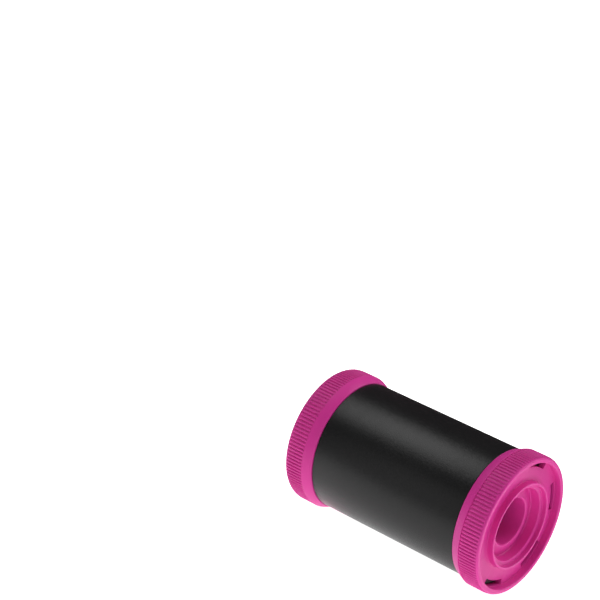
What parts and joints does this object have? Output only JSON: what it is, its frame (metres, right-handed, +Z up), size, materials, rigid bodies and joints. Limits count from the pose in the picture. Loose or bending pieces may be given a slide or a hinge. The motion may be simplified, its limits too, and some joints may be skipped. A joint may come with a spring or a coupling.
{
  "type": "hair roller",
  "caption": "Heated hair roller with a soft-touch barrel, ribbed cool-touch end caps and a central bore for a heating post.",
  "frame": {"origin": "on the surface that the roller lies on, under the middle of its length and its axis", "axes": "+X along the roller's axis, out of the open end that goes over a heating post; +Z up; +Y to complete a right-handed frame"},
  "size_m": [0.051, 0.0308, 0.0308],
  "materials": {
    "cap_plastic": "satin moulded magenta plastic",
    "tube_plastic": "plain moulded heat-resistant plastic",
    "soft_touch": "velvety black soft-touch sleeve",
    "core_aluminium": "drawn, satin",
    "wax": "solid wax, stands in for heat-storing wax",
    "seal_rubber": "silicone"
  },
  "bodies": {
    "root": {"open_end_cap": "cap_plastic", "closed_end_cap": "cap_plastic", "barrel_tube": "tube_plastic", "grip_sleeve": "soft_touch", "core_tube": "core_aluminium", "wax_charge": "wax", "open_end_seal": "seal_rubber", "closed_end_seal": "seal_rubber"}
  },
  "joints": []
}
